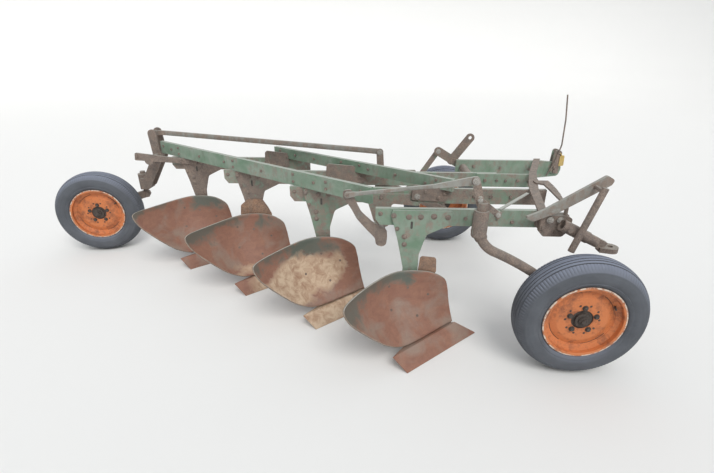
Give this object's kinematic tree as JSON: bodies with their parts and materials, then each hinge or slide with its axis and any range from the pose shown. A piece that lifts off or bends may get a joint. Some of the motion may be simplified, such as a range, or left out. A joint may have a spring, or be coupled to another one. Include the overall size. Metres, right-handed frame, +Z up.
{
  "type": "trailed moldboard plough",
  "caption": "Trailed moldboard plough on rubber-tyred wheels, lowered, with slanted frame rails, lift linkage, castering tail wheel and spinning wheels.",
  "frame": {"origin": "on the ground, under the middle of the bounding box with the plough lowered and its wheels straight", "axes": "+X forward along the travel, +Y to the land side (left), +Z up"},
  "size_m": [4.0035, 1.9055, 1.2666],
  "materials": {
    "green_paint": "faded",
    "rusty_steel": "rusty",
    "worn_steel": "weathered",
    "soil_steel": "rusty and soiled",
    "orange_paint": "faded and rusty",
    "tyre_rubber": "weathered",
    "hub_iron": "greasy",
    "yellow_tag": "matte"
  },
  "bodies": {
    "frame": {"beam_1": "green_paint", "beam_2": "rusty_steel", "beam_3": "rusty_steel", "beam_4": "rusty_steel", "land_beam": "green_paint", "front_rail": "green_paint", "rear_rail": "green_paint", "gussets": "rusty_steel", "splice_plate": "green_paint", "cross_bar": "rusty_steel", "cross_tube": "rusty_steel", "hitch_clamp": "rusty_steel", "quadrant": "rusty_steel", "stay_bar": "worn_steel", "stay_tube": "worn_steel", "standard_1": "green_paint", "standard_2": "green_paint", "standard_3": "rusty_steel", "standard_4": "rusty_steel", "moldboard_1": "soil_steel", "moldboard_2": "soil_steel", "moldboard_3": "soil_steel", "moldboard_4": "soil_steel", "frogs": "rusty_steel", "shares": "soil_steel", "landsides": "soil_steel", "furrow_bracket": "rusty_steel", "brace_strip": "worn_steel", "cylinder_bracket": "rusty_steel", "marker_rod": "worn_steel", "tag": "yellow_tag", "shaft_hangers": "green_paint", "tail_bar": "rusty_steel"},
    "land_crank": {"rockshaft": "rusty_steel", "curved_lever": "rusty_steel"},
    "land_wheel": {"land_tyre": "tyre_rubber", "land_rim": "orange_paint", "land_hub": "hub_iron"},
    "furrow_crank": {"furrow_axle": "rusty_steel"},
    "furrow_wheel": {"furrow_tyre": "tyre_rubber", "furrow_rim": "orange_paint", "furrow_hub": "hub_iron"},
    "level_link": {"level_bar": "worn_steel"},
    "reversing": {"reverse_lever": "rusty_steel"},
    "tail_link": {"lift_link": "green_paint"},
    "tail_crank": {"tail_mast": "rusty_steel"},
    "tail_caster": {"tail_arm": "rusty_steel"},
    "tail_wheel": {"tail_tyre": "tyre_rubber", "tail_rim": "orange_paint", "tail_hub": "hub_iron"},
    "cylinder_arm": {"lift_arm": "rusty_steel"},
    "arm_link": {"drop_link": "rusty_steel"},
    "hitch": {"drawbar": "rusty_steel"}
  },
  "joints": [
    {"name": "lift", "type": "hinge", "parent": "frame", "child": "land_crank", "pos_m": [0.63319, 0.39925, 0.572], "axis": [0, 1, 0], "range_deg": [-6, 22]},
    {"name": "furrow_lift", "type": "hinge", "parent": "frame", "child": "furrow_crank", "pos_m": [1.16019, -0.50075, 0.652], "axis": [0, 1, 0], "range_deg": [-5.76, 20.99]},
    {"name": "level_bar_pivot", "type": "hinge", "parent": "land_crank", "child": "level_link", "pos_m": [0.44419, -0.47475, 0.85], "axis": [0, 1, 0], "range_deg": [-18.02, 4.95]},
    {"name": "reversing_lever", "type": "hinge", "parent": "frame", "child": "reversing", "pos_m": [0.63219, 0.24825, 0.735], "axis": [0, 1, 0], "range_deg": [-23.37, 6.41]},
    {"name": "tail_link_pivot", "type": "hinge", "parent": "reversing", "child": "tail_link", "pos_m": [0.62026, 0.26725, 0.9146], "axis": [0, 1, 0], "range_deg": [-6.41, 23.37]},
    {"name": "tail_lift", "type": "hinge", "parent": "frame", "child": "tail_crank", "pos_m": [-1.17481, 0.69925, 0.762], "axis": [0, 1, 0], "range_deg": [-23.37, 6.41]},
    {"name": "tail_caster", "type": "hinge", "parent": "tail_crank", "child": "tail_caster", "pos_m": [-1.36281, 0.73925, 0.5], "axis": [0, 0, 1], "range_deg": [-30, 10]},
    {"name": "cylinder_arm", "type": "hinge", "parent": "frame", "child": "cylinder_arm", "pos_m": [1.26219, 0.61725, 0.727], "axis": [0, 1, 0], "range_deg": [-24.25, 6.65]},
    {"name": "arm_link_pivot", "type": "hinge", "parent": "cylinder_arm", "child": "arm_link", "pos_m": [1.07219, 0.63325, 0.84], "axis": [0, 1, 0], "range_deg": [-5.75, 20.95]},
    {"name": "land_wheel_spin", "type": "hinge", "parent": "land_crank", "child": "land_wheel", "pos_m": [1.17419, 0.85925, 0.33], "axis": [0, 1, 0], "continuous": true},
    {"name": "furrow_wheel_spin", "type": "hinge", "parent": "furrow_crank", "child": "furrow_wheel", "pos_m": [1.64419, -0.78075, 0.33], "axis": [0, 1, 0], "continuous": true},
    {"name": "tail_wheel_spin", "type": "hinge", "parent": "tail_caster", "child": "tail_wheel", "pos_m": [-1.67281, 0.54925, 0.33], "axis": [-0.2079, 0.9781, 0], "continuous": true},
    {"name": "drawbar_pitch", "type": "hinge", "parent": "frame", "child": "hitch", "pos_m": [1.58219, -0.60675, 0.735], "axis": [0, 1, 0], "range_deg": [-20, 15]}
  ],
  "couplings": [
    {"joint": "furrow_lift", "follows": "lift", "ratio": 0.952},
    {"joint": "level_bar_pivot", "follows": "lift", "ratio": -0.817},
    {"joint": "reversing_lever", "follows": "lift", "ratio": -1.06},
    {"joint": "tail_link_pivot", "follows": "lift", "ratio": 1.06},
    {"joint": "tail_lift", "follows": "lift", "ratio": -1.06},
    {"joint": "cylinder_arm", "follows": "lift", "ratio": -1.1},
    {"joint": "arm_link_pivot", "follows": "lift", "ratio": 0.95}
  ]
}
